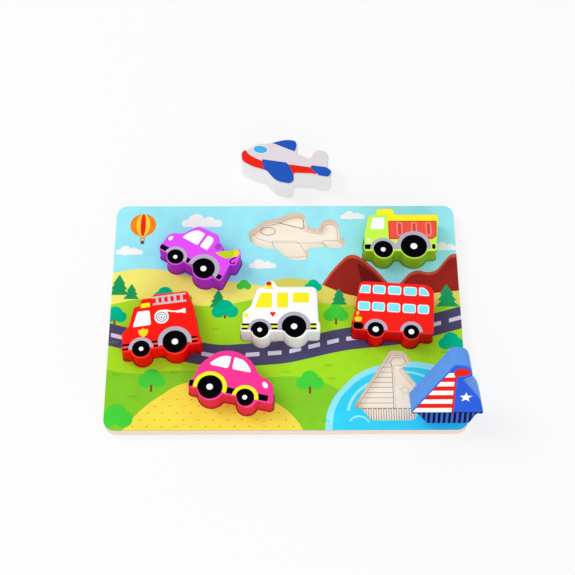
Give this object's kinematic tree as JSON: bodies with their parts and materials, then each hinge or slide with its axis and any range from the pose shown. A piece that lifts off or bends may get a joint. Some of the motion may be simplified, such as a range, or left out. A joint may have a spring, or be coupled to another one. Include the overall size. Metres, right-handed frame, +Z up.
{
  "type": "chunky vehicle puzzle",
  "caption": "Chunky wooden puzzle: a printed plywood board with vehicle-shaped recesses, and thick painted vehicle pieces with sanded edges that lift out of them and stand up.",
  "frame": {"origin": "centre of the board's underside, on the table", "axes": "+X to the right along the board's length, +Y to the back, +Z up out of the board's printed face"},
  "size_m": [0.3093, 0.2767, 0.0747],
  "materials": {
    "plain_plywood": "bare birch plywood, fine sanded",
    "printed_plywood": "plywood with a printed, lacquered face",
    "purple_paint": "solid wood, painted and printed, satin lacquer",
    "red_paint": "solid wood, painted and printed, satin lacquer",
    "white_paint": "solid wood, painted and printed, satin lacquer",
    "lime_paint": "solid wood, painted and printed, satin lacquer",
    "crimson_paint": "solid wood, painted and printed, satin lacquer",
    "pink_paint": "solid wood, painted and printed, satin lacquer",
    "blue_paint": "solid wood, painted and printed, satin lacquer",
    "pale_paint": "solid wood, painted and printed, satin lacquer"
  },
  "bodies": {
    "board": {"backing_board": "plain_plywood", "scene_board": "printed_plywood"},
    "tow_truck": {"tow_truck": "purple_paint"},
    "fire_engine": {"fire_engine": "red_paint"},
    "ambulance": {"ambulance": "white_paint"},
    "dump_truck": {"dump_truck": "lime_paint"},
    "double_decker_bus": {"double_decker_bus": "crimson_paint"},
    "small_car": {"small_car": "pink_paint"},
    "sailboat": {"sailboat": "blue_paint"},
    "aeroplane": {"aeroplane": "pale_paint"}
  },
  "joints": [
    {"name": "tow_truck_lift", "type": "slide", "parent": "board", "child": "tow_truck", "axis": [0, 0, 1], "range_m": [0, 0.04]},
    {"name": "fire_engine_lift", "type": "slide", "parent": "board", "child": "fire_engine", "axis": [0, 0, 1], "range_m": [0, 0.04]},
    {"name": "ambulance_lift", "type": "slide", "parent": "board", "child": "ambulance", "axis": [0, 0, 1], "range_m": [0, 0.04]},
    {"name": "dump_truck_lift", "type": "slide", "parent": "board", "child": "dump_truck", "axis": [0, 0, 1], "range_m": [0, 0.04]},
    {"name": "double_decker_bus_lift", "type": "slide", "parent": "board", "child": "double_decker_bus", "axis": [0, 0, 1], "range_m": [0, 0.04]},
    {"name": "small_car_lift", "type": "slide", "parent": "board", "child": "small_car", "axis": [0, 0, 1], "range_m": [0, 0.04]},
    {"name": "sailboat_lift", "type": "slide", "parent": "board", "child": "sailboat", "axis": [0, 0, 1], "range_m": [0, 0.04]},
    {"name": "aeroplane_lift", "type": "slide", "parent": "board", "child": "aeroplane", "axis": [0, 0, 1], "range_m": [0, 0.04]}
  ]
}
